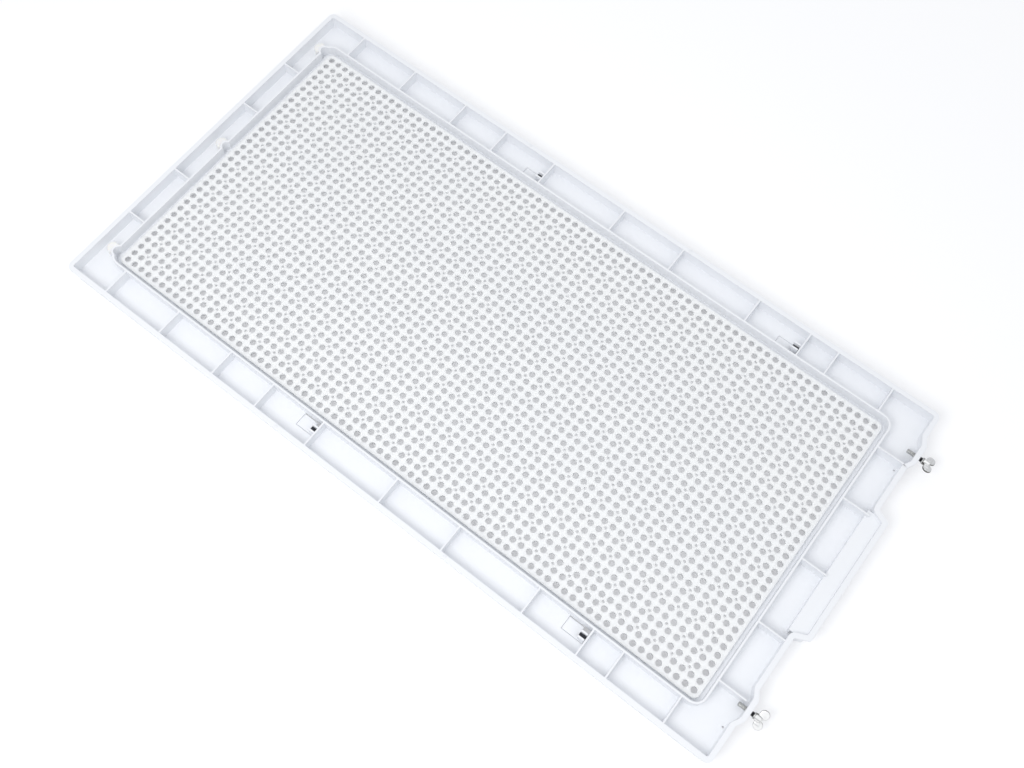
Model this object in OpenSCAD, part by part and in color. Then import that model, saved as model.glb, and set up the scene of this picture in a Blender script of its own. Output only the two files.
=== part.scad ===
// Queen excluder tray: a moulded frame that carries a lift-out grid of round holes.
// X runs along the long side, +X is the end with the handle and the wing screws.
// Y runs across, Z is up. The origin is on the surface the frame rests on,
// below the middle of the overall length.

/* [Grid] */
// Distance between neighbouring holes
pitch = 8; // [7.5:0.5:8]
// Diameter of each round hole
hole_d = 5.1; // [4.2:0.1:5.4]
// Diameter of the small drain holes
drain_d = 2.2; // [1.4:0.1:2.4]
// Thickness of the grid
grid_t = 3.5; // [2.5:0.5:4]

/* [Frame] */
// Height of the frame
frame_h = 22; // [21:0.5:24]
// Clear space below the floor of the frame
bee_space = 8; // [6:0.5:8]
// Thickness of the floor
floor_t = 2; // [1.6:0.2:2.4]
// Thickness of the outer wall and of the lip round the grid
wall_t = 1.8; // [1.4:0.2:2.2]
// Thickness of the cross ribs
rib_t = 1.5; // [1.2:0.1:1.8]
// Width of the rim on top of the outer wall
rim_w = 4.5; // [3.5:0.5:5]
// Free gap between the grid and the lip
grid_gap = 3.2; // [2.6:0.2:3.4]

/* [Handle] */
// Width of the handle along its outer edge
handle_w = 110; // [90:5:120]
// How far the handle stands out from the end
handle_reach = 11.5; // [8:0.5:14]
// Sideways offset of the handle from the middle line
handle_y = 7.5; // [0:0.5:10]

/* [Wing screws] */
// Thread diameter
screw_d = 4; // [3, 4, 5]
// Height of the screw axes above the rest surface
screw_z = 16; // [15.5:0.5:16.5]
// Distance between the wing tips
wing_span = 17; // [15:0.5:18]

/* [Hidden] */
$fn = 48;

cols = 74;                        // holes along X
rows = 34;                        // holes along Y
grid_edge = 5.8;                  // solid edge outside the outer hole centres
grid_x = -11.5;                   // middle of the grid
grid_l = (cols - 1) * pitch + 2 * grid_edge;
grid_w = (rows - 1) * pitch + 2 * grid_edge;
grid_r = 5;                       // corner radius of the grid
score_w = 0.3;                    // fine lines that divide the grid into fields
score_d = 0.15;
col_splits = [0, 11, 21, 31, 43, 53, 63, cols];
row_splits = [0, 9, 17, 25, rows];

floor_z = bee_space + floor_t;    // top of the floor
seat_h = 1.5;                     // ledge that the grid rests on
seat_w = 1.8;
grid_z = floor_z + seat_h;

lip_l = grid_l + 2 * grid_gap;    // inside of the lip
lip_w = grid_w + 2 * grid_gap;
lip_r = grid_r + grid_gap;

well_left = -330.5;                 // inner faces of the outer wall
well_right = 314.3;
well_y = 166.4;
well_r = 1.2;
handle_step = 3.6;                // how far the grip lies below the rim
grip_x = 312.3;                   // where the grip begins
handle_slope = 0.45;              // slope of the handle's two shoulders

screw_y = [-120, 130];            // near and far screw
bulge_h = 4;                      // how far the wall bulges out round each screw
bulge_top = 9;                    // half widths of a bulge
bulge_foot = 16;

button_y = [-133, 1, 133];
button_r = 5.4;
button_x = -317.5;
bow_x = -311.5;                     // the lip bows out round each button
bow_r = 4;

long_ribs = [-292.3, -231.2, -172.3, -125.9, -72.3, 4.3, 66.7, 144.7, 195.7, 223.1, 275.4];
left_ribs = [-99.3, -44.2, 44.2, 99.3];
right_ribs = [-116, -61.5, 0, 61.5, 115.5];

tongue_ribs = [-72.3, 195.7];     // each tongue ends just short of one of these ribs
tongue_l = 20;
tongue_w = 11;
tongue_y = 149.4;                 // middle of the tongue, from the middle line
tongue_slit = 1;                  // beside the lip
root_gap = 0.3;                   // at the tongue's root and along its outer side
end_gap = 0.5;                    // at the tongue's free end
catch_l = 5.9;                    // slotted catch that stands on the tongue
catch_w = 6.6;
catch_wall = 1.6;
catch_h = 10;
catch_y = 151.1;
stop_h = 8;                       // stop inside the catch
notch_w = 5;                      // the tongue is narrower beside its catch, on the lip side

pip_x = [-100.3, 72.5];                // small round pips on the rim
pip_r = 1.2;
pip_h = 0.4;
weep_d = 1.6;                     // weep holes in the floor beside the screws
weep_x = 312.8;
weep_y = [-140, 111.6];

boss_r = 4.8;                     // boss outside the wall that holds the insert
insert_r = 3.4;
insert_wall = 0.6;                // plastic left in front of the insert
insert_back = 0.6;                // how far the insert ends below the rim's edge
insert_bore = screw_d + 0.1;
stud_gap = 0.4;
wall_x = well_right + bulge_h;    // inner face of the wall at a screw
stud_tip = 311.8;
stud_end = 330.8;
washer_x = 325.4;
washer_t = 1;
washer_r = 3.1;
hub_l = 5.2;
hub_r = 3;
wing_t = 1.6;
wing_reach = 336;

function unit(v) = v / norm(v);

// Points of the arc of radius r that rounds corner b between its neighbours a and c.
function rounded_corner(a, b, c, r, steps) =
  let (
    u = unit(a - b),
    v = unit(c - b),
    half = acos(u * v) / 2,
    middle = b + unit(u + v) * r / sin(half),
    from = b + u * r / tan(half) - middle,
    to = b + v * r / tan(half) - middle,
    start = atan2(from.y, from.x),
    turn = atan2(from.x * to.y - from.y * to.x, from * to)
  )
  [for (i = [0:steps]) middle + r * [cos(start + turn * i / steps), sin(start + turn * i / steps)]];

// Outline whose corners are [x, y, radius], a radius of 0 being a sharp corner.
function rounded_outline(corners, steps = 5) =
  let (n = len(corners))
  [for (i = [0:n - 1])
    let (
      a = corners[(i + n - 1) % n],
      b = corners[i],
      c = corners[(i + 1) % n],
      p = [b.x, b.y]
    )
    each (b.z == 0 ? [p] : rounded_corner([a.x, a.y], p, [c.x, c.y], b.z, steps))];

// Rectangle from corner lo to corner hi.
function box_corners(lo, hi, r) =
  [[lo.x, lo.y, r], [hi.x, lo.y, r], [hi.x, hi.y, r], [lo.x, hi.y, r]];

// Outward bulge of the end wall round a screw, for a wall face moved out by g.
function bulge_corners(y, g) = [
  [well_right + g, y - bulge_foot, 8 - g],
  [wall_x + g, y - bulge_top, 5 + g],
  [wall_x + g, y + bulge_top, 5 + g],
  [well_right + g, y + bulge_foot, 8 - g]
];

// Handle, for a wall face moved out by g.
function handle_corners(g) =
  let (
    tip = handle_w / 2 + g * (sqrt(1 + pow(handle_slope, 2)) - handle_slope),
    foot = tip + handle_slope * handle_reach
  )
  [
    [well_right + g, handle_y - foot, 5.5 - g],
    [well_right + handle_reach + g, handle_y - tip, 1 + g * 0.4],
    [well_right + handle_reach + g, handle_y + tip, 1 + g * 0.4],
    [well_right + g, handle_y + foot, 5.5 - g]
  ];

// Outer wall's inner face, moved out by g.
function wall_outline(g) = rounded_outline(concat(
  [[well_left - g, well_y + g, well_r + g], [well_left - g, -well_y - g, well_r + g]],
  [[well_right + g, -well_y - g, well_r + g]],
  bulge_corners(screw_y[0], g),
  handle_corners(g),
  bulge_corners(screw_y[1], g),
  [[well_right + g, well_y + g, well_r + g]]
));

// Rectangle centred on the grid, moved out by g.
module centred(l, w, r, g) {
  half = [l / 2 + g, w / 2 + g];
  middle = [grid_x, 0];
  polygon(rounded_outline(box_corners(middle - half, middle + half, r + g)));
}

// Slab of the outline moved out by g, from height z up to height top.
module wall_slab(g, z, top) {
  translate([0, 0, z]) linear_extrude(top - z) polygon(wall_outline(g));
}

module outer_wall() {
  difference() {
    union() {
      wall_slab(wall_t, 0, frame_h - floor_t);
      wall_slab(rim_w, frame_h - floor_t, frame_h);
    }
    wall_slab(0, floor_z, frame_h + 1);
    wall_slab(0, -1, bee_space);
  }
}

module floor_openings() {
  inner = tongue_y - tongue_w / 2 - tongue_slit;
  outer = tongue_y + tongue_w / 2 + root_gap;
  translate([0, 0, bee_space - 1]) linear_extrude(floor_t + 2) {
    centred(lip_l, lip_w, lip_r, -grid_gap - seat_w);
    for (x = tongue_ribs, side = [-1, 1])
      translate([x - rib_t / 2 - tongue_l - root_gap, side > 0 ? inner : -outer])
        square([tongue_l + root_gap, outer - inner]);
    for (y = weep_y) translate([weep_x, y]) circle(d = weep_d);
  }
}

module lip() {
  translate([0, 0, floor_z - 0.5]) linear_extrude(frame_h - floor_z + 0.5) {
    difference() {
      union() {
        centred(lip_l, lip_w, lip_r, wall_t);
        for (y = button_y) translate([bow_x, y]) circle(r = bow_r + wall_t);
      }
      centred(lip_l, lip_w, lip_r, 0);
      for (y = button_y) translate([bow_x, y]) circle(r = bow_r);
    }
  }
}

// Ledge inside the lip, under the edge of the grid.
module seat() {
  translate([0, 0, floor_z - 0.5]) linear_extrude(seat_h + 0.5) difference() {
    centred(lip_l, lip_w, lip_r, wall_t / 2);
    centred(lip_l, lip_w, lip_r, -grid_gap - seat_w);
  }
}

// One rib between two points, as high as the rim.
module rib(lo, hi) {
  translate([lo.x, lo.y, floor_z - 0.5]) cube([hi.x - lo.x, hi.y - lo.y, frame_h - floor_z + 0.5]);
}

module ribs() {
  into = wall_t / 2;
  lip_y = lip_w / 2 + into;
  lip_left = grid_x - lip_l / 2 - into;
  lip_right = grid_x + lip_l / 2 + into;
  for (x = long_ribs) {
    rib([x - rib_t / 2, lip_y], [x + rib_t / 2, well_y + into]);
    rib([x - rib_t / 2, -well_y - into], [x + rib_t / 2, -lip_y]);
  }
  for (y = left_ribs) rib([well_left - into, y - rib_t / 2], [lip_left, y + rib_t / 2]);
  for (y = right_ribs) {
    inside_handle = abs(y - handle_y) < handle_w / 2 - 10;
    rib([lip_right, y - rib_t / 2], [(inside_handle ? grip_x : well_right) + into, y + rib_t / 2]);
  }
}

// Raised grip inside the handle, open from below for the fingers.
module grip() {
  top = frame_h - handle_step;
  half = handle_w / 2 + 4;
  intersection() {
    wall_slab(wall_t / 2, floor_z - 0.5, top);
    union() {
      translate([grip_x, handle_y - half, top - floor_t]) cube([handle_reach + 5, 2 * half, floor_t]);
      translate([grip_x, handle_y - half, floor_z - 0.5]) cube([wall_t, 2 * half, top - floor_z + 0.5]);
    }
  }
}

module frame() {
  color("white") {
    difference() {
      union() {
        outer_wall();
        wall_slab(wall_t / 2, bee_space, floor_z);
        for (y = screw_y) along_screw(wall_x, y) cylinder(r = boss_r, h = rim_w - 0.2);
      }
      floor_openings();
      finger_opening();
      for (y = screw_y) {
        along_screw(wall_x - 2, y) cylinder(d = screw_d + 2 * stud_gap, h = 8);
        along_screw(wall_x + insert_wall, y) cylinder(r = insert_r, h = 8);
      }
    }
    lip();
    seat();
    ribs();
    grip();
    for (x = pip_x, side = [-1, 1])
      translate([x, side * (well_y + rim_w / 2), frame_h - 0.2]) cylinder(r = pip_r, h = pip_h + 0.2);
  }
}

// Moves a shape drawn along Z onto a screw's axis, to start at x.
module along_screw(x, y) {
  translate([x, y, screw_z]) rotate([0, 90, 0]) children();
}

// The floor is left out under the grip.
module finger_opening() {
  half = handle_w / 2 - 1;
  translate([grip_x + wall_t, handle_y - half, bee_space - 1])
    cube([well_right + handle_reach - grip_x - wall_t - 0.5, 2 * half, floor_t + 2]);
}

// Field of the grid that holds the hole columns c0 to c1 - 1 and rows r0 to r1 - 1.
module grid_field(c0, c1, r0, r1) {
  left = c0 == 0 ? -grid_edge : (c0 - 0.5) * pitch + score_w / 2;
  right = c1 == cols ? (cols - 1) * pitch + grid_edge : (c1 - 0.5) * pitch - score_w / 2;
  low = r0 == 0 ? -grid_edge : (r0 - 0.5) * pitch + score_w / 2;
  high = r1 == rows ? (rows - 1) * pitch + grid_edge : (r1 - 0.5) * pitch - score_w / 2;
  corners = [
    [left, low, c0 == 0 && r0 == 0 ? grid_r : 0],
    [right, low, c1 == cols && r0 == 0 ? grid_r : 0],
    [right, high, c1 == cols && r1 == rows ? grid_r : 0],
    [left, high, c0 == 0 && r1 == rows ? grid_r : 0]
  ];
  linear_extrude(grid_t) difference() {
    polygon(rounded_outline(corners));
    for (c = [c0:c1 - 1], r = [r0:r1 - 1]) translate([c * pitch, r * pitch]) circle(d = hole_d);
    for (c = [c0:c1 - 1], r = [r0:r1 - 1])
      if (c % 2 == 1 && r % 2 == 1 && c < cols - 1 && r < rows - 1)
        translate([(c + 0.5) * pitch, (r + 0.5) * pitch]) circle(d = drain_d);
  }
}

// Thinner lines between the fields.
module grid_scores() {
  low = -grid_edge;
  thick = grid_t - 2 * score_d;
  for (i = [1:len(col_splits) - 2])
    translate([(col_splits[i] - 0.5) * pitch - score_w / 2, low, score_d])
      cube([score_w, grid_w, thick]);
  for (i = [1:len(row_splits) - 2])
    translate([low, (row_splits[i] - 0.5) * pitch - score_w / 2, score_d])
      cube([grid_l, score_w, thick]);
}

module grid() {
  color("whitesmoke")
    translate([grid_x - (cols - 1) * pitch / 2, -(rows - 1) * pitch / 2, grid_z]) {
      for (i = [0:len(col_splits) - 2], j = [0:len(row_splits) - 2])
        grid_field(col_splits[i], col_splits[i + 1], row_splits[j], row_splits[j + 1]);
      grid_scores();
    }
}

// Slot of the catch beside the rib at x, on side -1 or 1, from height z up to height top.
module catch_slot(x, side, z, top) {
  width = catch_w - 2 * catch_wall;
  translate([x - rib_t / 2 - end_gap - catch_l, side * catch_y - width / 2, z])
    cube([catch_l, width, top - z]);
}

// Sprung tongue with a slotted catch at its free end.
module tongue(x, side) {
  right = x - rib_t / 2 - end_gap;
  left = x - rib_t / 2 - tongue_l;
  notch_y = side > 0 ? catch_y - catch_w / 2 - notch_w : catch_w / 2 - catch_y;
  color("white") difference() {
    union() {
      translate([left, side * tongue_y - tongue_w / 2, bee_space]) cube([right - left, tongue_w, floor_t]);
      translate([right - catch_l, side * catch_y - catch_w / 2, floor_z - 0.5])
        cube([catch_l, catch_w, catch_h + 0.5]);
    }
    catch_slot(x, side, bee_space - 1, floor_z + catch_h + 1);
    catch_slot(x + 1, side, bee_space - 1, floor_z + catch_h + 1);
    translate([right - catch_l, notch_y, bee_space - 1]) cube([catch_l + 1, notch_w, floor_t + 2]);
  }
}

// Dark stop inside the catch.
module catch_stop(x, side) {
  color("dimgray") catch_slot(x, side, bee_space, bee_space + stop_h);
}

// Button that fills the gap between the bowed lip and the end wall.
module end_button(y) {
  chamfer = 0.8;
  color("ivory") difference() {
    translate([button_x, y, floor_z]) union() {
      cylinder(r = button_r, h = frame_h - floor_z - chamfer);
      translate([0, 0, frame_h - floor_z - chamfer])
        cylinder(r1 = button_r, r2 = button_r - chamfer, h = chamfer);
    }
    translate([bow_x, y, floor_z - 1]) cylinder(r = bow_r + wall_t, h = frame_h);
    translate([grid_x - lip_l / 2 - wall_t, y - button_r - 1, floor_z - 1]) cube([20, 2 * button_r + 2, frame_h]);
  }
}

// Threaded bush in the boss on the end wall.
module insert(y) {
  color("silver") along_screw(wall_x + insert_wall, y) difference() {
    cylinder(r = insert_r, h = rim_w - insert_back - insert_wall);
    translate([0, 0, -1]) cylinder(d = insert_bore, h = rim_w + 2);
  }
}

// Washer held on the stud, just behind the hub.
module washer(y) {
  color("silver") along_screw(washer_x, y) difference() {
    cylinder(r = washer_r, h = washer_t);
    translate([0, 0, -1]) cylinder(d = insert_bore, h = washer_t + 2);
  }
}

module stud(y) {
  point = 0.6;
  color("silver") along_screw(stud_tip, y) {
    cylinder(d1 = screw_d - 2 * point, d2 = screw_d, h = point);
    translate([0, 0, point]) cylinder(d = screw_d, h = stud_end - stud_tip - point);
  }
}

// Head with two wings, turned by the given angle about the screw axis.
module wing(y, angle) {
  hub_x = washer_x + washer_t + 0.2;
  wing_h = wing_reach - hub_x - 1;
  ear_r = wing_h / 2;
  color("silver") translate([hub_x, y, screw_z]) rotate([angle, 0, 0]) difference() {
    union() {
      rotate([0, 90, 0]) cylinder(r1 = hub_r, r2 = hub_r - 0.6, h = hub_l);
      for (side = [-1, 1])
        translate([1 + ear_r, side * (wing_span / 2 - ear_r), 0]) {
          translate([0, 0, -wing_t / 2]) cylinder(r = ear_r, h = wing_t);
          translate([-ear_r, side > 0 ? -wing_span / 2 + ear_r : 0, -wing_t / 2])
            cube([2 * ear_r - 2, wing_span / 2 - ear_r, wing_t]);
        }
    }
    rotate([0, 90, 0]) translate([0, 0, -1]) cylinder(d = screw_d, h = stud_end - hub_x + 1);
  }
}

frame();
grid();
tongue(tongue_ribs[0], -1);  // tongue_near_left
tongue(tongue_ribs[1], -1);  // tongue_near_right
tongue(tongue_ribs[0], 1);  // tongue_far_left
tongue(tongue_ribs[1], 1);  // tongue_far_right
catch_stop(tongue_ribs[0], -1);  // stop_near_left
catch_stop(tongue_ribs[1], -1);  // stop_near_right
catch_stop(tongue_ribs[0], 1);  // stop_far_left
catch_stop(tongue_ribs[1], 1);  // stop_far_right
end_button(button_y[0]);  // end_button_near
end_button(button_y[1]);  // end_button_middle
end_button(button_y[2]);  // end_button_far
insert(screw_y[0]);  // insert_near
insert(screw_y[1]);  // insert_far
washer(screw_y[0]);  // washer_near
washer(screw_y[1]);  // washer_far
stud(screw_y[0]);  // stud_near
stud(screw_y[1]);  // stud_far
wing(screw_y[0], 25);  // wing_near
wing(screw_y[1], -20);  // wing_far
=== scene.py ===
import math

import bmesh
import bpy
from mathutils import Matrix, Vector


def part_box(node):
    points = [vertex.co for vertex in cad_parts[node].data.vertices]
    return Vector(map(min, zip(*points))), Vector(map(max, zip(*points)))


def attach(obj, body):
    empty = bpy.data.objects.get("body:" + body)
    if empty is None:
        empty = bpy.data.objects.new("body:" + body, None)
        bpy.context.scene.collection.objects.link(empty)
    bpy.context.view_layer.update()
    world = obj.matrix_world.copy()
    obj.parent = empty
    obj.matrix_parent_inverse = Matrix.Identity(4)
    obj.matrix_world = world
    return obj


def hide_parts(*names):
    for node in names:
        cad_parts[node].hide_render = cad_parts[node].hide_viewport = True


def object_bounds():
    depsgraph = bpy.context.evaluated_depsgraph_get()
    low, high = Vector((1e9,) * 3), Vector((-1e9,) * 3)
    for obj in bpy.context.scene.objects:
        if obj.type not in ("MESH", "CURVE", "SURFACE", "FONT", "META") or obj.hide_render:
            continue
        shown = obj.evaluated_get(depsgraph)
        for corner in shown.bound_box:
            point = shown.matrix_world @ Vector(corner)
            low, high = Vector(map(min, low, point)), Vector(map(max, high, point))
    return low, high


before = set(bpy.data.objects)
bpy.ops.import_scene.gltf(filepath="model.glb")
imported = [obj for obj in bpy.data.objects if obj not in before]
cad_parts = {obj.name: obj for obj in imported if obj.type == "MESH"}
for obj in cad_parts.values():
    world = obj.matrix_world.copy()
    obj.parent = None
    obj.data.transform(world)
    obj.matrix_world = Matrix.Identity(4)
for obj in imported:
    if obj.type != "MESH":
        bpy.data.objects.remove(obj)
cad_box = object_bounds()
MM = 0.001


# The frame: one injection moulding in white plastic, with its outer wall, flat rim, ribbed
# channel, lip and handle. Every edge carries the small radius that the mould leaves, and its
# skin has faint flow marks and a fine grain, with scuffs along the top of the rim.
class Wire:
    """A shader output that can be used in sums."""

    def __init__(self, finish, socket):
        self.finish = finish
        self.socket = socket

    def math(self, operation, first, second):
        sockets = {0: first, 1: second}
        return self.finish.node("ShaderNodeMath", {"operation": operation}, sockets)["Value"]

    def __add__(self, other):
        return self.math("ADD", self, other)

    def __sub__(self, other):
        return self.math("SUBTRACT", self, other)

    def __rsub__(self, other):
        return self.math("SUBTRACT", other, self)

    def __mul__(self, other):
        return self.math("MULTIPLY", self, other)

    __radd__ = __add__
    __rmul__ = __mul__


class Outputs:
    """The outputs of one shader node, by name or number."""

    def __init__(self, finish, node):
        self.finish = finish
        self.node = node

    def __getitem__(self, name):
        return Wire(self.finish, self.node.outputs[name])


class Finish:
    """A material, or the world's background, while its nodes are put together."""

    def __init__(self, owner, output="ShaderNodeOutputMaterial"):
        owner.use_nodes = True
        self.owner = owner
        self.tree = owner.node_tree
        self.tree.nodes.clear()
        self.output = self.node(output, {}, {})

    def node(self, kind, settings, sockets):
        """Adds a node with its settings, then fills its sockets with values or wires."""
        made = self.tree.nodes.new(kind)
        for name, value in settings.items():
            setattr(made, name, value)
        for name, value in sockets.items():
            socket = made.inputs[name]
            if isinstance(value, Wire):
                self.tree.links.new(value.socket, socket)
            elif socket.type == "RGBA":
                socket.default_value = (*value, 1)
            else:
                socket.default_value = value
        return Outputs(self, made)

    def place(self):
        return self.node("ShaderNodeTexCoord", {}, {})["Object"]

    def stretched(self, place, scale):
        return self.node("ShaderNodeMapping", {}, {"Vector": place, "Scale": scale})["Vector"]

    def noise(self, place, scale, detail=2.0):
        sockets = {"Vector": place, "Scale": scale, "Detail": detail}
        return self.node("ShaderNodeTexNoise", {}, sockets)["Fac"]

    def step(self, value, low, high):
        """0 below low and 1 above high, with a soft change between."""
        sockets = {"Value": value, "From Min": low, "From Max": high}
        return self.node("ShaderNodeMapRange", {"interpolation_type": "SMOOTHSTEP"}, sockets)["Result"]

    def tint(self, share, first, second):
        """A colour between first and second, by share."""
        return self.node("ShaderNodeMix", {"data_type": "RGBA"}, {0: share, 6: first, 7: second})[2]

    def bump(self, height, distance):
        return self.node("ShaderNodeBump", {}, {"Height": height, "Distance": distance})["Normal"]

    def shine(self, sockets):
        """Ends the material in one glossy shader."""
        shader = self.node("ShaderNodeBsdfPrincipled", {}, sockets)["BSDF"]
        self.tree.links.new(shader.socket, self.output.node.inputs["Surface"])
        return self.owner


def moulded_plastic(name, light, shade, roughness, rim_z, depth):
    """White plastic with flow marks and a fine grain, scuffed above rim_z. Light enters to a depth."""
    finish = Finish(bpy.data.materials.new(name))
    place = finish.place()
    height = finish.node("ShaderNodeSeparateXYZ", {}, {"Vector": place})["Z"]
    flow = finish.noise(finish.stretched(place, (6.0, 22.0, 22.0)), 1.0, 3.0)
    cloud = finish.noise(place, 70.0)
    grain = finish.noise(place, 2400.0)
    dust = finish.step(finish.noise(place, 420.0), 0.66, 0.72)
    streaks = finish.noise(finish.stretched(place, (45.0, 700.0, 300.0)), 1.0, 3.0)
    scratch = finish.step(streaks, 0.60, 0.68)
    scuff = scratch * finish.step(height, rim_z - 0.5 * MM, rim_z)
    flow_tone = finish.step(flow, 0.35, 0.65) * 0.5
    cloud_tone = finish.step(cloud, 0.4, 0.7) * 0.2
    tone = flow_tone + cloud_tone + dust * 0.3 + scuff * 0.6
    return finish.shine({
        "Base Color": finish.tint(tone, light, shade),
        "Roughness": roughness + cloud * 0.1 + scuff * 0.2,
        "Normal": finish.bump(grain * 0.4 + cloud * 1.2 - scuff * 0.8, 0.02 * MM),
        "IOR": 1.48,
        "Subsurface Weight": 1.0 if depth else 0.0,
        "Subsurface Radius": (depth, depth, depth),
        "Subsurface Scale": 1.0,
    })


def shown(name, mesh, body, finish, nodes):
    """Puts a finished piece in the scene, on its body, in place of CAD nodes."""
    piece = bpy.data.objects.new(name, mesh)
    bpy.context.scene.collection.objects.link(piece)
    mesh.materials.clear()
    mesh.materials.append(finish)
    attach(piece, body)
    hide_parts(*nodes)
    return piece


def softened(name, node, radius, crack=None):
    """The mesh of a CAD part with each of its edges rounded to radius, and a crack closed."""
    same_place = 0.002 * MM
    crack_w = 0.45 * MM
    part = bmesh.new()
    part.from_mesh(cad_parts[node].data)
    bmesh.ops.remove_doubles(part, verts=part.verts, dist=same_place)
    if crack:
        beside = [v for v in part.verts if (v.co.xy - crack).length < 0.5 * MM]
        bmesh.ops.remove_doubles(part, verts=beside, dist=crack_w)
    corner = math.radians(30)
    edges = [e for e in part.edges if e.is_manifold and e.calc_face_angle(0) > corner]
    bmesh.ops.bevel(
        part, geom=edges, offset=radius, offset_type="OFFSET", segments=2, profile=0.5,
        affect="EDGES", clamp_overlap=False, loop_slide=False)
    mesh = bpy.data.meshes.new(name)
    part.to_mesh(mesh)
    part.free()
    mesh.shade_smooth()
    return mesh


def evenly_shaded(piece):
    """Keeps the large flat faces flat where a small rounding meets them."""
    piece.modifiers.new("even_shading", "WEIGHTED_NORMAL").keep_sharp = True


# A rib and the bulge beside the far screw leave a crack too narrow for the rounding.
far_crack = Vector((cad_box[1].x - 20.75 * MM, 115.88 * MM))
rim_top = 22 * MM
mould_radius = 0.3 * MM
frame_plastic = moulded_plastic(
    "frame_plastic", (0.908, 0.922, 0.948), (0.888, 0.904, 0.934), 0.34, rim_top, 0.0)
moulding = shown(
    "frame_moulding", softened("frame_moulding", "frame", mould_radius, far_crack), "frame",
    frame_plastic, ["frame"])
evenly_shaded(moulding)


# The grid: a flat sheet of the same plastic, moulded with rows of round holes and with small
# drain holes between them. It lies loose on the ledge inside the lip. The mould leaves a small
# radius on the rim of every hole and all round the sheet.
pitch = 8 * MM
columns = 74
rows = 34
hole_r = 2.55 * MM
drain_r = 1.1 * MM
rim_r = 0.25 * MM
edge_r = 0.5 * MM
corner_r = 5 * MM
low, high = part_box("grid")
middle = (low + high) / 2
half = pitch / 2
reach = (high.x - low.x - (columns - 1) * pitch) / 2
drain_edge = half - drain_r - rim_r
side_steps = 6
around = 4 * side_steps

sheet_points = []
sheet_index = {}
sheet_faces = []


def sheet_point(x, y, z):
    """Number of the point at x, y, z, which neighbouring cells share."""
    key = (round(x * 1e7), round(y * 1e7), round(z * 1e7))
    if key not in sheet_index:
        sheet_index[key] = len(sheet_points)
        sheet_points.append((x, y, z))
    return sheet_index[key]


def band(first, second, closed=True):
    """Faces between two rows of points."""
    for k in range(len(first) if closed else len(first) - 1):
        n = (k + 1) % len(first)
        sheet_faces.append((first[k], first[n], second[n], second[k]))


def quarter_outline(u, v, drained):
    """A quarter of a cell's outline as (place, outward direction), for side distances u and v."""
    turns = [math.radians(22.5 * k) for k in range(5)]
    if drained:
        r = drain_r + rim_r
        arc = [((half - r * math.sin(t), half - r * math.cos(t)), (0, 0)) for t in turns]
        return [((u, 0), (0, 0))] + arc
    if u > half and v > half:
        r = corner_r - edge_r
        c = reach - corner_r
        arc = [((c + r * math.cos(t), c + r * math.sin(t)), (math.cos(t), math.sin(t))) for t in turns]
        return [((u, 0), (1, 0))] + arc
    out_u = (1, 0) if u > half else (0, 0)
    out_v = (0, 1) if v > half else (0, 0)
    corner_out = out_u if u > half else out_v
    return [
        ((u, 0), out_u),
        ((u, drain_edge), out_u),
        ((u, (drain_edge + v) / 2), out_u),
        ((u, v), corner_out),
        (((drain_edge + u) / 2, v), out_v),
        ((drain_edge, v), out_v),
    ]


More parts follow.
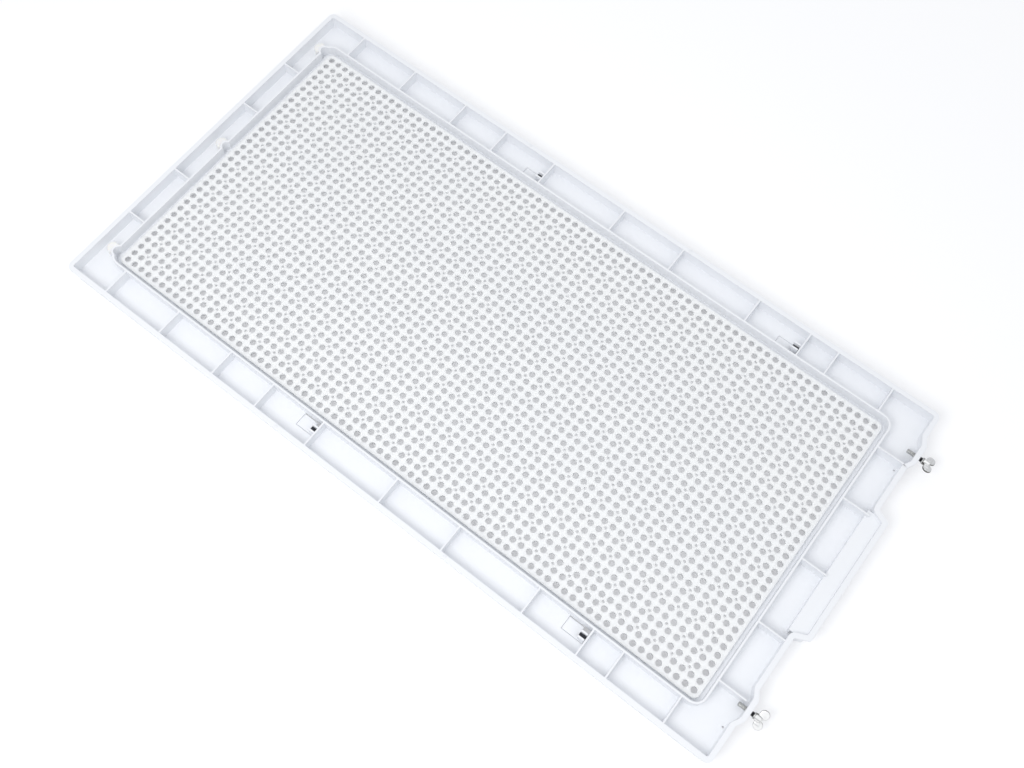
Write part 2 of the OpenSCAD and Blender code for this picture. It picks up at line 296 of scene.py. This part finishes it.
def cell(column, row):
    """One hole with the square of sheet round it."""
    x = middle.x + (column - (columns - 1) / 2) * pitch
    y = middle.y + (row - (rows - 1) / 2) * pitch
    inset = reach - edge_r
    right = inset if column == columns - 1 else half
    top = inset if row == rows - 1 else half
    left = inset if column == 0 else half
    bottom = inset if row == 0 else half
    outline = []
    drains = []
    quarters = [(right, top, 0, 0), (top, left, -1, 0), (left, bottom, -1, -1), (bottom, right, 0, -1)]
    for turn, (u, v, dx, dy) in enumerate(quarters):
        odd = (column + dx) % 2 == 1 and (row + dy) % 2 == 1
        inside = 0 <= column + dx < columns - 1 and 0 <= row + dy < rows - 1
        c, s = [(1, 0), (0, 1), (-1, 0), (0, -1)][turn]
        points = [
            ((x + px * c - py * s, y + px * s + py * c), (ox * c - oy * s, ox * s + oy * c))
            for (px, py), (ox, oy) in quarter_outline(u, v, odd and inside)
        ]
        outline += points
        if odd and inside:
            drains.append([p for p, out in points[1:]])
    upper = [sheet_point(px, py, high.z) for (px, py), out in outline]
    lower = [sheet_point(px, py, low.z) for (px, py), out in outline]
    rings = [upper]
    rounding = 0.29 * rim_r
    for r, z in (
            (hole_r + rim_r, high.z), (hole_r + rounding, high.z - rounding),
            (hole_r, high.z - rim_r), (hole_r, low.z)):
        angles = [2 * math.pi * k / around for k in range(around)]
        rings.append([sheet_point(x + r * math.cos(a), y + r * math.sin(a), z) for a in angles])
    rings.append(lower)
    for first, second in zip(rings, rings[1:]):
        band(first, second)
    for points in drains:
        centre = Vector((x, y)) + Vector(
            (math.copysign(half, points[2][0] - x), math.copysign(half, points[2][1] - y)))
        inner = [centre + (Vector(p) - centre) * drain_r / (drain_r + rim_r) for p in points]
        steps = [
            [sheet_point(*p, high.z) for p in points],
            [sheet_point(*p, high.z - rim_r) for p in inner],
            [sheet_point(*p, low.z + rim_r) for p in inner],
            [sheet_point(*p, low.z) for p in points]]
        for first, second in zip(steps, steps[1:]):
            band(second, first, closed=False)
    turns = (0, math.pi / 4, math.pi / 2)
    arc = [(math.sin(t) * edge_r, math.cos(t) * edge_r - edge_r) for t in turns]
    profile = [(out, high.z + dz) for out, dz in arc] + [(out, low.z - dz) for out, dz in reversed(arc)]
    for k in range(around):
        (p, out_p), (q, out_q) = outline[k], outline[(k + 1) % around]
        if out_p != (0, 0) and out_q != (0, 0):
            for (g, z), (next_g, next_z) in zip(profile, profile[1:]):
                corners = [
                    (p, out_p, g, z), (p, out_p, next_g, next_z),
                    (q, out_q, next_g, next_z), (q, out_q, g, z)]
                sheet_faces.append(tuple(
                    sheet_point(at[0] + out[0] * grown, at[1] + out[1] * grown, level)
                    for at, out, grown, level in corners))


for column in range(columns):
    for row in range(rows):
        cell(column, row)

sheet = bpy.data.meshes.new("grid_sheet")
sheet.from_pydata(sheet_points, [], sheet_faces)
sheet.shade_smooth()
above_sheet = high.z + 0.4 * MM
light_depth = 3 * MM
grid_plastic = moulded_plastic(
    "grid_plastic", (0.91, 0.922, 0.942), (0.89, 0.904, 0.928), 0.42, above_sheet, light_depth)
grid_sheet = shown("grid_sheet", sheet, "grid", grid_plastic, ["grid"])
evenly_shaded(grid_sheet)


# The sprung tongues: strips cut free in the floor of the channel, each with a hollow catch at
# its free end. They are moulded with the frame, so they share its plastic.
for node in ("tongue_near_left", "tongue_near_right", "tongue_far_left", "tongue_far_right"):
    tongue = shown(
        node + "_clip", softened(node + "_clip", node, 0.25 * MM), node,
        frame_plastic, [node])
    evenly_shaded(tongue)


# The stops: small near-black blocks pushed up into the slots of the catches from below. They are
# painted shade: they stand for the dark deep inside each catch window. They ride on the tongues.
def window_shade_black(name):
    finish = Finish(bpy.data.materials.new(name))
    place = finish.place()
    bloom = finish.step(finish.noise(place, 600.0, 3.0), 0.4, 0.75)
    grain = finish.noise(place, 3000.0)
    return finish.shine({
        # Near-black with a faint blue cloud: painted shade for the dark inside each catch window.
        "Base Color": finish.tint(bloom, (0.012, 0.013, 0.018), (0.035, 0.038, 0.055)),
        "Roughness": 0.42 + bloom * 0.2,
        "Normal": finish.bump(grain * 0.6 + bloom, 0.04 * MM),
    })


window_shade = window_shade_black("stop_rubber")
for place in ("near_left", "near_right", "far_left", "far_right"):
    node = "stop_" + place
    plug = shown(
        node + "_plug", softened(node + "_plug", node, 0.25 * MM), "tongue_" + place,
        window_shade, [node])
    evenly_shaded(plug)


# The end buttons: half-round blocks of nylon, pressed in between the lip and the end wall.
# The nylon is warmer and more waxy than the frame.
def waxy_nylon(name):
    finish = Finish(bpy.data.materials.new(name))
    place = finish.place()
    cloud = finish.noise(place, 160.0, 3.0)
    grain = finish.noise(place, 1500.0)
    tone = finish.step(cloud, 0.3, 0.7)
    return finish.shine({
        "Base Color": finish.tint(tone, (0.93, 0.928, 0.915), (0.91, 0.905, 0.89)),
        "Roughness": 0.38 + cloud * 0.15,
        "Normal": finish.bump(grain * 0.5 + cloud, 0.04 * MM),
        "IOR": 1.53,
        "Subsurface Weight": 0.15,
        "Subsurface Radius": (1.2 * MM, 1.0 * MM, 0.7 * MM),
    })


nylon = waxy_nylon("button_nylon")
for place in ("near", "middle", "far"):
    node = "end_button_" + place
    button = shown(
        node + "_block", softened(node + "_block", node, 0.35 * MM), "frame",
        nylon, [node])
    evenly_shaded(button)


# The threaded inserts: plated bushes pressed into the bosses of the end wall from outside,
# with turning lines and chamfered ends.
def turned(name, profile, y, z, steps=48):
    """A mesh turned about an axis along X through y and z, from (x, radius) points."""
    points = []
    faces = []
    for x, r in profile:
        for k in range(steps):
            a = 2 * math.pi * k / steps
            points.append((x, y + r * math.cos(a), z + r * math.sin(a)))
    rings = len(profile)
    for i in range(rings):
        for k in range(steps):
            n = (k + 1) % steps
            j = (i + 1) % rings
            faces.append((i * steps + k, i * steps + n, j * steps + n, j * steps + k))
    mesh = bpy.data.meshes.new(name)
    mesh.from_pydata(points, [], faces)
    mesh.shade_smooth()
    return mesh


def bare_metal(name, light, shade, roughness, line_scale):
    """Metal with fine turning lines, stained a little where dirt and plating gather."""
    finish = Finish(bpy.data.materials.new(name))
    place = finish.place()
    stain = finish.noise(place, 380.0, 4.0)
    lines = finish.noise(finish.stretched(place, line_scale), 1.0, 2.0)
    pits = finish.step(finish.noise(place, 2200.0), 0.62, 0.70)
    return finish.shine({
        "Base Color": finish.tint(finish.step(stain, 0.35, 0.75), light, shade),
        "Metallic": 1.0,
        "Roughness": roughness + stain * 0.16 + pits * 0.2,
        "Normal": finish.bump(lines * 0.7 - pits * 0.8 + stain * 0.6, 0.03 * MM),
    })


insert_metal = bare_metal(
    "insert_metal", (0.74, 0.71, 0.62), (0.52, 0.49, 0.42), 0.26, (9000.0, 60.0, 60.0))
for place in ("near", "far"):
    low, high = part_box("insert_" + place)
    y, z = (low.y + high.y) / 2, (low.z + high.z) / 2
    outer_r = (high.z - low.z) / 2
    bore_r = 2.05 * MM
    chamfer = 0.3 * MM
    profile = [
        (low.x, bore_r + chamfer), (low.x, outer_r - chamfer), (low.x + chamfer, outer_r),
        (high.x - chamfer, outer_r), (high.x, outer_r - chamfer), (high.x, bore_r + chamfer),
        (high.x - chamfer, bore_r), (low.x + chamfer, bore_r)]
    bush = shown(
        "insert_" + place + "_bush", turned("insert_" + place, profile, y, z), "frame",
        insert_metal, ["insert_" + place])
    evenly_shaded(bush)


# The washers: small stamped rings of plated steel, captive under the wing heads.
washer_metal = bare_metal(
    "washer_metal", (0.78, 0.78, 0.77), (0.60, 0.60, 0.60), 0.18, (60.0, 5000.0, 5000.0))
for place in ("near", "far"):
    low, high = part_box("washer_" + place)
    y, z = (low.y + high.y) / 2, (low.z + high.z) / 2
    outer_r = (high.z - low.z) / 2
    bore_r = 2.05 * MM
    lip = 0.25 * MM
    profile = [
        (low.x, bore_r + lip), (low.x, outer_r - lip), (low.x + lip, outer_r), (high.x - lip, outer_r),
        (high.x, outer_r - lip), (high.x, bore_r + lip), (high.x - lip, bore_r), (low.x + lip, bore_r)]
    ring = shown(
        "washer_" + place + "_ring", turned("washer_" + place, profile, y, z), "washer_" + place,
        washer_metal, ["washer_" + place])
    evenly_shaded(ring)


# The studs: steel with a rolled M4 thread and a blunt point. Dirt darkens the thread's root,
# and its crests are rubbed bright.
def rolled_thread(name, low, high):
    """A rod along X whose surface winds as a right-hand thread."""
    thread_pitch = 0.7 * MM
    crest_r = (high.z - low.z) / 2
    root_r = crest_r - 0.22 * MM
    point = 0.8 * MM
    steps = 24
    slices = round((high.x - low.x) / (thread_pitch / 8))
    y, z = (low.y + high.y) / 2, (low.z + high.z) / 2
    points = []
    crests = []
    faces = []
    for i in range(slices + 1):
        x = low.x + (high.x - low.x) * i / slices
        behind_tip = x - low.x
        for k in range(steps):
            a = 2 * math.pi * k / steps
            phase = (x / thread_pitch - k / steps) % 1
            crest = min(1.0, max(0.0, 2.6 * abs(phase - 0.5) - 0.15))
            r = root_r + (crest_r - root_r) * crest
            if behind_tip < point:
                r = min(r, crest_r - 0.7 * (point - behind_tip))
            points.append((x, y + r * math.cos(a), z + r * math.sin(a)))
            crests.append(crest)
    for i in range(slices):
        for k in range(steps):
            n = (k + 1) % steps
            faces.append((i * steps + k, i * steps + n, (i + 1) * steps + n, (i + 1) * steps + k))
    faces.append(tuple(reversed(range(steps))))
    faces.append(tuple(slices * steps + k for k in range(steps)))
    mesh = bpy.data.meshes.new(name)
    mesh.from_pydata(points, [], faces)
    mesh.attributes.new("crest", "FLOAT", "POINT").data.foreach_set("value", crests)
    mesh.shade_smooth()
    return mesh


def threaded_steel(name, dark_from):
    """Bright inside the tray, and painted near-black beyond the wall from the place given: a painted
    shade and dark reflection on the neck.
    """
    finish = Finish(bpy.data.materials.new(name))
    place = finish.place()
    along = finish.node("ShaderNodeSeparateXYZ", {}, {"Vector": place})["X"]
    crest = finish.node("ShaderNodeAttribute", {"attribute_name": "crest"}, {})["Fac"]
    grime = finish.noise(place, 900.0, 3.0)
    # Painted shade and dark reflection: near-black past the outside of the wall.
    painted_dark = finish.step(along, dark_from - 0.5 * MM, dark_from + 0.5 * MM)
    rubbed = finish.step(crest + grime * 0.4, 0.5, 1.1)
    metal = finish.tint(rubbed, (0.30, 0.30, 0.29), (0.90, 0.90, 0.88))
    return finish.shine({
        "Base Color": finish.tint(painted_dark, metal, (0.06, 0.06, 0.065)),
        "Metallic": 1.0,
        "Roughness": 0.26 - rubbed * 0.12,
        "Normal": finish.bump(grime, 0.02 * MM),
    })


outside_wall = cad_box[1].x - 13.5 * MM
stud_metal = threaded_steel("stud_metal", outside_wall)
for place in ("near", "far"):
    low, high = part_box("stud_" + place)
    shown(
        "stud_" + place + "_thread", rolled_thread("stud_" + place, low, high),
        "screw_" + place, stud_metal, ["stud_" + place])


# The wing heads: small zinc castings, nickel plated and bright, with a round hub and two
# rounded wings. Each screw was left at its own angle. The casting's edges are all soft.
def wing_casting(name, low, high, y, z, turn):
    """The hub and wings fused into one soft casting."""
    body = bmesh.new()
    hub_l = 5.2 * MM
    hub_r = 2.95 * MM
    hub_end_r = 2.5 * MM
    wing_t = 1.7 * MM
    ear_r = 3.85 * MM
    ear_x = high.x - ear_r
    span = 17 * MM
    along = Matrix.Rotation(math.pi / 2, 4, "Y")
    bmesh.ops.create_cone(
        body, cap_ends=True, segments=48, radius1=hub_r, radius2=hub_end_r, depth=hub_l,
        matrix=Matrix.Translation((low.x + hub_l / 2, 0, 0)) @ along)
    for side in (-1, 1):
        middle_y = side * (span / 2 - ear_r)
        bmesh.ops.create_cone(
            body, cap_ends=True, segments=64, radius1=ear_r, radius2=ear_r * 0.94, depth=wing_t,
            matrix=Matrix.Translation((ear_x, middle_y, 0)))
        bmesh.ops.create_cube(
            body, size=1,
            matrix=Matrix.Translation((ear_x - ear_r * 0.4, middle_y / 2, 0))
            @ Matrix.Diagonal((ear_r * 1.1, abs(middle_y), wing_t * 1.2, 1)))
    turned_to = Matrix.Translation((0, y, z)) @ Matrix.Rotation(turn, 4, "X")
    bmesh.ops.transform(body, matrix=turned_to, verts=body.verts)
    mesh = bpy.data.meshes.new(name + "_rough")
    body.to_mesh(mesh)
    body.free()
    rough = bpy.data.objects.new(name + "_rough", mesh)
    bpy.context.scene.collection.objects.link(rough)
    fuse = rough.modifiers.new("fuse", "REMESH")
    fuse.mode = "VOXEL"
    fuse.voxel_size = 0.22 * MM
    soften = rough.modifiers.new("soften", "SMOOTH")
    soften.factor = 0.5
    soften.iterations = 5
    state = bpy.context.evaluated_depsgraph_get()
    casting = bpy.data.meshes.new_from_object(rough.evaluated_get(state))
    bpy.data.objects.remove(rough)
    casting.name = name
    casting.shade_smooth()
    # How far each point turns away from the flats of the wings; this drives the painted dark
    # reflection.
    facing = Vector((0, -math.sin(turn), math.cos(turn)))
    reflection_shares = [1 - abs(v.normal.dot(facing)) for v in casting.vertices]
    casting.attributes.new("side", "FLOAT", "POINT").data.foreach_set("value", reflection_shares)
    return casting


def plated_casting(name):
    """Bright on the flats of the wings, and painted dark round their edges and on the hub: a painted
    reflection of dark surroundings.
    """
    finish = Finish(bpy.data.materials.new(name))
    place = finish.place()
    side = finish.node("ShaderNodeAttribute", {"attribute_name": "side"}, {})["Fac"]
    cloud = finish.noise(place, 380.0, 4.0)
    # Painted reflection: dark where the surface turns away from the wing flats, with some cloud.
    painted_edge_reflection = finish.step(side + cloud * 0.3, 0.4, 0.8)
    return finish.shine({
        "Base Color": finish.tint(painted_edge_reflection, (0.96, 0.96, 0.95), (0.16, 0.16, 0.15)),
        "Metallic": 1.0,
        "Roughness": 0.16 + cloud * 0.1,
        "Normal": finish.bump(cloud, 0.02 * MM),
    })


wing_metal = plated_casting("wing_metal")
for place, turn in (("near", 25), ("far", -20)):
    low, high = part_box("wing_" + place)
    stud_low, stud_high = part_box("stud_" + place)
    y, z = (stud_low.y + stud_high.y) / 2, (stud_low.z + stud_high.z) / 2
    casting = wing_casting("wing_" + place, low, high, y, z, math.radians(turn))
    shown(
        "wing_" + place + "_head", casting, "screw_" + place, wing_metal,
        ["wing_" + place])


# The studio: a plain pale floor lit from within like a product table, an even pale surround
# that darkens at the horizon, one softbox over the near side, and the camera.
floor_size = 8
floor_drop = 0.3 * MM
bpy.ops.mesh.primitive_plane_add(size=floor_size, location=(0, 0, -floor_drop))
floor = bpy.context.object
floor.name = "studio_floor"
floor.data.materials.append(Finish(bpy.data.materials.new("studio_paper")).shine({
    "Base Color": (0.88, 0.88, 0.88),
    "Roughness": 0.9,
    "Specular IOR Level": 0.0,
    "Emission Color": (0.98, 0.98, 1.0),
    "Emission Strength": 0.19,
}))

world = bpy.data.worlds.new("studio")
surround = Finish(world, "ShaderNodeOutputWorld")
upward = surround.node("ShaderNodeSeparateXYZ", {}, {
    "Vector": surround.node("ShaderNodeTexCoord", {}, {})["Generated"]})["Z"]
seen = surround.node("ShaderNodeLightPath", {}, {})["Is Camera Ray"]
walls = (0.60, 0.613, 0.64)
ceiling = (0.93, 0.94, 0.96)
horizon = (0.01, 0.011, 0.012)
backdrop = (1.0, 1.0, 1.0)
dome = surround.tint(surround.step(upward, 0.35, 0.85), walls, ceiling)
dome = surround.tint(surround.step(upward, 0.05, 0.25), horizon, dome)
dome = surround.tint(seen, dome, backdrop)
light = surround.node("ShaderNodeBackground", {}, {"Color": dome, "Strength": 1.0})["Background"]
surround.tree.links.new(light.socket, surround.output.node.inputs["Surface"])
bpy.context.scene.world = world

lamp = bpy.data.lights.new("key_softbox", "AREA")
lamp.shape = "DISK"
lamp.size = 0.5
lamp.energy = 3.2
lamp.color = (1.0, 0.995, 0.985)
softbox = bpy.data.objects.new("key_softbox", lamp)
softbox.location = (0.0, -0.62, 0.9)
softbox.rotation_euler = (-softbox.location).to_track_quat("-Z", "Y").to_euler()
bpy.context.scene.collection.objects.link(softbox)

lens = bpy.data.cameras.new("camera")
lens.lens = 39.42
lens.sensor_width = 36
camera = bpy.data.objects.new("camera", lens)
camera_right = Vector((0.79279947, 0.60901793, 0.02379421))
camera_up = Vector((-0.57215173, 0.73021994, 0.37339154))
camera_back = Vector((0.21002713, -0.30963851, 0.92736864))
turn = Matrix((camera_right, camera_up, camera_back)).transposed().to_4x4()
camera.matrix_world = Matrix.Translation((0.21819, -0.30652, 0.86994)) @ turn
bpy.context.scene.collection.objects.link(camera)
bpy.context.scene.camera = camera
bpy.context.scene.view_settings.view_transform = "Standard"
